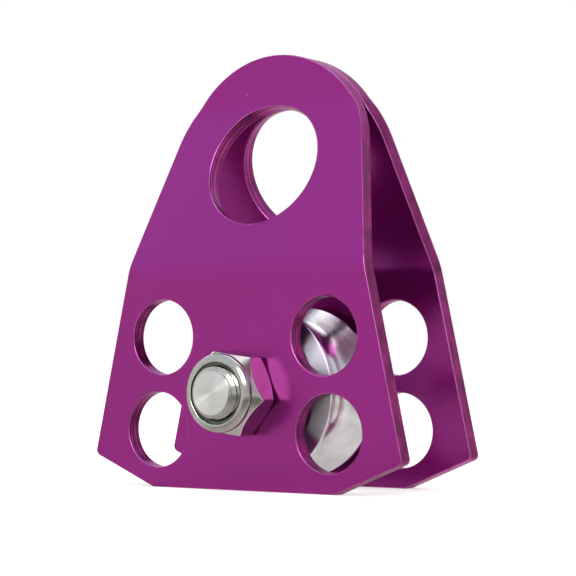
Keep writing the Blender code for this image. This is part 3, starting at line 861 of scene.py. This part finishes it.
bearing = {
    "outer": 14.29 * mm, "bore": 6.45 * mm, "half": 3.972 * mm, "pitch": 10.32 * mm, "ball": 2.382 * mm,
    "shoulder": 0.56, "edge": 0.4 * mm, "shieldSeat": 0.6 * mm, "shieldInset": 0.3 * mm, "shield": 0.4 * mm,
    "dish": 0.2 * mm, "gap": 0.1 * mm, "balls": 8, "ballDetail": 4, "cageWall": 0.4 * mm, "claw": 0.5,
    "cageSteps": 192, "trackSteps": 20, "steps": 144,
}
springRing = {  # halfGap is in degrees
    "band": 1.8 * mm, "lug": 1.7 * mm, "halfGap": 24, "eye": 0.6 * mm, "edge": 0.1 * mm, "outerSteps": 160,
    "innerSteps": 140, "lugSteps": 20, "eyeSteps": 28,
}
shoulderReach = bearing["ball"] * bearing["shoulder"]
innerShoulder = bearing["pitch"] - shoulderReach
outerShoulder = bearing["pitch"] + shoulderReach
ballSpots = []  # the ball centres, about the axle
for i in range(bearing["balls"]):
    angle = 2 * pi * i / bearing["balls"]
    ballSpots.append(Vector((cos(angle), 0.0, sin(angle))) * bearing["pitch"])


def trackPoints(side):  # the ball's groove in a race: side 1 outer, -1 inner
    radius = bearing["ball"] + bearing["gap"]
    halfTrack = degrees(acos(shoulderReach / radius))
    middle = 0 if side > 0 else 180
    ring = arcPoints((bearing["pitch"], 0.0), radius, middle - halfTrack, middle + halfTrack,
                     bearing["trackSteps"])
    return [(point.x, point.y, 0.0) for point, _ in ring]


def outerRaceMesh():
    half, step = bearing["half"], outerShoulder + bearing["shieldSeat"]
    stepAt = half - bearing["shieldInset"] - bearing["shield"] - bearing["gap"]
    rear = [
        (outerShoulder, stepAt, 0.05 * mm),
        (step, stepAt, 0.05 * mm),
        (step, half, 0.12 * mm),
        (bearing["outer"], half, bearing["edge"]),
    ]
    return turnedMesh("outerRace", rounded(trackPoints(1) + rear + mirrored(rear), 5), bearing["steps"])


def innerRaceMesh():
    half = bearing["half"]
    front = [(innerShoulder, -half, 0.12 * mm), (bearing["bore"], -half, bearing["edge"])]
    return turnedMesh("innerRace", rounded(trackPoints(-1) + front + mirrored(front), 5), bearing["steps"])


def shieldMesh(side):
    outer = outerShoulder + bearing["shieldSeat"] - bearing["gap"]
    inner = innerShoulder + 2 * bearing["gap"]
    outside, dish = bearing["half"] - bearing["shieldInset"], bearing["dish"]
    inside = outside - bearing["shield"]
    bendOut = (outer + inner) / 2 + 0.3 * mm
    bendIn = (outer + inner) / 2 - 0.2 * mm
    corners = [
        (outer, outside, 0.15 * mm),
        (bendOut, outside, 0.3 * mm),
        (bendIn, outside - dish, 0.3 * mm),
        (inner, outside - dish, 0.12 * mm),
        (inner, inside - dish, 0.12 * mm),
        (bendIn, inside - dish, 0.3 * mm),
        (bendOut, inside, 0.3 * mm),
        (outer, inside, 0.05 * mm),
    ]
    return sidedMesh("shield", corners, side, bearing["steps"])


def clipOutline():  # a sprung band with a round, drilled eye at each end
    outer = bearing["outer"] + wheel["clipDepth"]
    inner = outer - springRing["band"]
    lug, gap = springRing["lug"], springRing["halfGap"]
    lugCentre = inner - lug / 2
    lugTurn = degrees(lug / lugCentre)
    ends = []
    for angle in (90 - gap, 90 + gap):
        centre = Vector((cos(radians(angle)), sin(radians(angle)))) * lugCentre
        ends.append((centre, angle))
    (last, lastAngle), (first, firstAngle) = ends
    steps, eyeSteps, innerTurn = springRing["lugSteps"], springRing["eyeSteps"], 1.6 * lugTurn
    outline = arcPoints((0, 0), outer, 90 + gap - lugTurn, 450 - gap + lugTurn, springRing["outerSteps"])
    outline += arcPoints(last, lug, lastAngle + 90, lastAngle + 250, steps)
    outline += arcPoints((0, 0), inner, 90 - gap - innerTurn, -270 + gap + innerTurn,
                         springRing["innerSteps"])
    outline += arcPoints(first, lug, firstAngle + 110, firstAngle + 270, steps)
    eyes = [arcPoints(centre, springRing["eye"], 360, 360 / eyeSteps, eyeSteps - 1) for centre, _ in ends]
    return [outline] + eyes


def stampedMesh(name, loops, thickness, middle):  # a stamped flat ring, from a bevelled outline curve
    edge = springRing["edge"]
    curve = bpy.data.curves.new(name, "CURVE")
    curve.dimensions = "2D"
    curve.fill_mode = "BOTH"
    curve.extrude = thickness / 2 - edge
    curve.bevel_depth = edge
    curve.bevel_resolution = 2
    curve.offset = -edge
    for points in loops:
        spline = curve.splines.new("POLY")
        spline.points.add(len(points) - 1)
        for control, (point, _) in zip(spline.points, points):
            control.co = (point.x, point.y, 0.0, 1.0)
        spline.use_cyclic_u = True
    holder = newObject(name, curve)
    mesh = shapedMesh(holder)
    bpy.data.objects.remove(holder)
    bm = bmesh.new()
    bm.from_mesh(mesh)
    bmesh.ops.remove_doubles(bm, verts=bm.verts, dist=1e-6)
    bmesh.ops.recalc_face_normals(bm, faces=bm.faces)
    for vert in bm.verts:
        vert.co = Vector((vert.co.x, middle - vert.co.z, vert.co.y))
    bm.to_mesh(mesh)
    bm.free()
    mesh.attributes.new("edge", "FLOAT", "POINT")  # all 0: no edge of it is broken, so none of it gets the painted edge highlight
    shadeByArea(mesh)
    return mesh


def cageMesh():  # a moulded crown: a ring with a round pocket for each ball
    pocket = bearing["ball"] + bearing["gap"]
    back = pocket + bearing["cageWall"]
    claw = bearing["claw"] * bearing["ball"]
    outer = outerShoulder - 2 * bearing["gap"]
    inner = innerShoulder + 2 * bearing["gap"]
    corners = [(outer, back, 0.2 * mm), (inner, back, 0.2 * mm),
               (inner, -claw, 0.15 * mm), (outer, -claw, 0.15 * mm)]
    ring = newObject("cageRing", turnedMesh("ballCage", rounded(corners, 4), bearing["cageSteps"]))
    pockets = bmesh.new()
    for spot in ballSpots:
        made = bmesh.ops.create_icosphere(pockets, subdivisions=bearing["ballDetail"], radius=pocket)
        bmesh.ops.translate(pockets, verts=made["verts"], vec=spot)
    tool = newObject("pocketCutter", meshFrom(pockets, "pockets"))
    cutter = ring.modifiers.new("pockets", "BOOLEAN")
    cutter.operation = "DIFFERENCE"
    cutter.solver = "EXACT"
    cutter.object = tool
    mesh = shapedMesh(ring)
    for item in (ring, tool):
        bpy.data.objects.remove(item)
    mesh.shade_smooth()
    mesh.set_sharp_from_angle(angle=radians(35))
    return mesh


def ballMesh():
    ball = bmesh.new()
    bmesh.ops.create_icosphere(ball, subdivisions=bearing["ballDetail"], radius=bearing["ball"])
    mesh = meshFrom(ball, "bearingBall")
    mesh.shade_smooth()
    return mesh


steel = ("bearingSteel",)
dress("bearing_outer_ring", outerRaceMesh(), steel, "sheave_group", "bearing_outer_race")
dress("bearing_inner_ring", innerRaceMesh(), steel, "axle_and_rear_plate", "bearing_inner_race")
for label, side in (("front", -1), ("rear", 1)):
    dress(label + "_shield", shieldMesh(side), steel, "sheave_group", label + "_bearing_shield")
clipMiddle = -bearing["half"] - 2 * wheel["seatGap"] - wheel["clip"] / 2
springClip = stampedMesh("springClip", clipOutline(), wheel["clip"], clipMiddle)
dress("spring_clip", springClip, steel, "sheave_group", "bearing_clip")
dress("crown_cage", cageMesh(), ("cageNylon",), "ball_set", "ball_cage")
for i, spot in enumerate(ballSpots, 1):
    dress(f"steel_ball_{i}", ballMesh(), steel, "ball_set", f"ball_{i}", offset=spot)
print("bearing done")


# Flanged spacers and thrust washers on the bolt, either side of the bearing

spacer = {
    "bore": 6.45 * mm, "tube": 8.85 * mm, "flange": 10.95 * mm, "flangeThickness": 1.5 * mm,
    "start": 4.072 * mm, "washer": 1.0 * mm, "washerRadius": 11.35 * mm, "gap": 0.1 * mm, "steps": 128,
}


def spacerMesh(side):
    end = plate["halfInside"] - 2 * spacer["gap"] - spacer["washer"]
    corners = [
        (spacer["bore"], spacer["start"], 0.2 * mm),
        (spacer["tube"], spacer["start"], 0.25 * mm),
        (spacer["tube"], end - spacer["flangeThickness"], 0.4 * mm),
        (spacer["flange"], end - spacer["flangeThickness"], 0.2 * mm),
        (spacer["flange"], end, 0.25 * mm),
        (spacer["bore"], end, 0.2 * mm),
    ]
    return sidedMesh("flangedSpacer", corners, side, spacer["steps"])


def washerMesh(side):
    outside = plate["halfInside"] - spacer["gap"]
    inside = outside - spacer["washer"]
    corners = [(spacer["bore"], inside, 0.1 * mm), (spacer["washerRadius"], inside, 0.2 * mm),
               (spacer["washerRadius"], outside, 0.2 * mm), (spacer["bore"], outside, 0.1 * mm)]
    return sidedMesh("thrustWasher", corners, side, spacer["steps"])


for label, side in (("front", -1), ("rear", 1)):
    dress(label + "_flanged_spacer", spacerMesh(side), ("spacerAluminium",), "axle_and_rear_plate",
          label + "_spacer")
    dress(label + "_slip_washer", washerMesh(side), ("washerAcetal",), "axle_and_rear_plate",
          label + "_thrust_washer")
print("spacers and washers done")


# Floor, light and camera

studio = {
    "floorSize": 4.0, "floorColour": (0.86, 0.86, 0.86), "floorLift": 0.45,
    # the floor's glow under the pulley, seen only in reflections, is painted light
    "floorInMetal": (0.90, 0.885, 0.86), "litUnderPlace": (0.02, 0.01), "litUnderRadius": 0.07, "litUnderLevel": 0.36,
    "reflectedShadePatches": (  # x, y, radius and level of the patches of painted shade that only the metal sees
        (0.10, -0.09, 0.14, 0.26),
        (-0.017, -0.052, 0.035, 0.55),
        (-0.145, -0.115, 0.075, 0.45),
        (0.05, 0.065, 0.05, 0.70),
    ),
    "skyFill": 0.75, "rightLevel": 0.70, "rightFade": (-0.10, 0.90), "lowTint": (1.0, 0.98, 0.95),
    "highTint": (0.95, 1.0, 1.12), "heightFade": (0.0, 0.45), "flagTowards": (0.56, -0.22, 0.80),
    "flagTint": (0.30, 0.17, 0.25), "flagFade": (0.90, 0.98), "lampsAim": (0.0, 0.0, 0.05),
    "lensWidth": 36.0, "lens": 121.47, "cameraPlace": (0.28132, -0.39262, 0.02961),
    "cameraYaw": 35.352, "cameraPitch": 2.358, "cameraRoll": 0.172, "nearest": 0.01,
}


def emptyTree(owner):  # the node tree of a material or a world, with nothing in it
    owner.use_nodes = True
    owner.node_tree.nodes.clear()
    return owner.node_tree


def seenPlainly(tree, rays):  # 1 for the camera, also through something clear
    return calculate(tree, "MAXIMUM", rays.outputs["Is Camera Ray"], rays.outputs["Is Transmission Ray"])


def makeFloor():
    grid = bmesh.new()
    bmesh.ops.create_grid(grid, x_segments=8, y_segments=8, size=studio["floorSize"] / 2)
    floor = newObject("studio_floor", meshFrom(grid, "studioFloor"))
    material = bpy.data.materials.new("paleFloor")
    tree = emptyTree(material)
    lit = addNode(tree, "BsdfDiffuse")
    lift = addNode(tree, "Emission", {"Color": (1.0, 1.0, 1.0, 1.0)})
    rays = addNode(tree, "LightPath")
    ground = addNode(tree, "TexCoord")

    def within(spot, radius, inner, outer):  # inner near the spot on the floor, outer beyond the radius
        away = addNode(tree, "VectorMath", {1: (*spot, 0.0)}, operation="DISTANCE")
        tree.links.new(ground.outputs["Object"], away.inputs[0])
        return remap(tree, away.outputs["Value"], radius * 0.3, radius, inner, outer)

    paintedShade = 1.0  # the patches of painted shade multiplied together
    for x, y, radius, level in studio["reflectedShadePatches"]:
        paintedShade = times(tree, within((x, y), radius, level, 1.0), paintedShade)
    # painted shade: the floor is darker in these patches, seen only in reflections
    shadedFloorInMetal = mixColours(tree, paintedShade, (0.0, 0.0, 0.0), studio["floorInMetal"])
    shade = mixColours(tree, rays.outputs["Is Glossy Ray"], studio["floorColour"], shadedFloorInMetal)
    seen = times(tree, seenPlainly(tree, rays), studio["floorLift"])
    # painted light: the floor under the pulley glows for glossy rays only, so its shadow is lifted in
    # reflections
    paintedLightUnder = within(studio["litUnderPlace"], studio["litUnderRadius"], studio["litUnderLevel"], 0.0)
    paintedLightUnder = times(tree, paintedLightUnder, rays.outputs["Is Glossy Ray"])
    both = addNode(tree, "AddShader")
    result = addNode(tree, "OutputMaterial")
    wire(tree, (shade, lit.inputs["Color"]), (plus(tree, seen, paintedLightUnder), lift.inputs["Strength"]),
         (lit.outputs[0], both.inputs[0]), (lift.outputs[0], both.inputs[1]),
         (both.outputs[0], result.inputs["Surface"]))
    floor.data.materials.append(material)


def makeSky():  # even fill on the object, plain white for the camera, and a softer right side in reflections
    world = bpy.data.worlds.new("studioSky")
    bpy.context.scene.world = world
    tree = emptyTree(world)
    rays = addNode(tree, "LightPath")
    around = addNode(tree, "TexCoord")
    split = addNode(tree, "SeparateXYZ")
    facing = addNode(tree, "VectorMath", {1: studio["flagTowards"]}, operation="DOT_PRODUCT")
    for node in (split, facing):
        tree.links.new(around.outputs["Generated"], node.inputs[0])
    level = remap(tree, split.outputs["X"], *studio["rightFade"], 1.0, studio["rightLevel"])
    height = remap(tree, split.outputs["Z"], *studio["heightFade"])
    tint = mixColours(tree, height, studio["lowTint"], studio["highTint"])
    flag = remap(tree, facing.outputs["Value"], *studio["flagFade"])
    tint = mixColours(tree, flag, tint, studio["flagTint"])
    white = (1.0, 1.0, 1.0, 1.0)
    fill = addNode(tree, "Background", {"Color": white, "Strength": studio["skyFill"]})
    plain = addNode(tree, "Background", {"Color": white, "Strength": 1.0})
    gloss = addNode(tree, "Background")
    onObject = addNode(tree, "MixShader")
    choose = addNode(tree, "MixShader")
    result = addNode(tree, "OutputWorld")
    wire(tree, (tint, gloss.inputs["Color"]), (level, gloss.inputs["Strength"]),
         (rays.outputs["Is Glossy Ray"], onObject.inputs["Fac"]),
         (fill.outputs[0], onObject.inputs[1]), (gloss.outputs[0], onObject.inputs[2]),
         (seenPlainly(tree, rays), choose.inputs["Fac"]),
         (onObject.outputs[0], choose.inputs[1]), (plain.outputs[0], choose.inputs[2]),
         (choose.outputs[0], result.inputs["Surface"]))


lamps = {  # place, width, height and power of each soft box, all aimed at the middle of the pulley
    "keyBox": ((0.40, -0.78, 0.56), 0.46, 0.50, 3.8),
    "topBox": ((0.05, 0.05, 0.90), 0.60, 0.60, 1.3),
    "sideBox": ((-0.72, 0.30, 0.56), 0.36, 0.36, 1.2),
}


def makeLamps():
    target = Vector(studio["lampsAim"])
    for label, (spot, width, height, power) in lamps.items():
        light = bpy.data.lights.new(label, "AREA")
        light.shape = "RECTANGLE"
        light.size = width
        light.size_y = height
        light.energy = power
        lamp = newObject(label, light)
        lamp.location = spot
        lamp.rotation_euler = (target - Vector(spot)).to_track_quat("-Z", "Y").to_euler()


def makeCamera():
    data = bpy.data.cameras.new("photoCamera")
    data.sensor_width = studio["lensWidth"]
    data.lens = studio["lens"]
    data.clip_start = studio["nearest"]
    camera = newObject("photoCamera", data)
    turn = Matrix.Rotation(radians(studio["cameraYaw"]), 4, "Z")
    tilt = Matrix.Rotation(radians(90 + studio["cameraPitch"]), 4, "X")
    roll = Matrix.Rotation(radians(studio["cameraRoll"]), 4, "Z")
    camera.matrix_world = Matrix.Translation(studio["cameraPlace"]) @ turn @ tilt @ roll
    bpy.context.scene.camera = camera


makeFloor()
makeSky()
makeLamps()
makeCamera()
bpy.context.scene.view_settings.view_transform = "Standard"
print("studio ready")
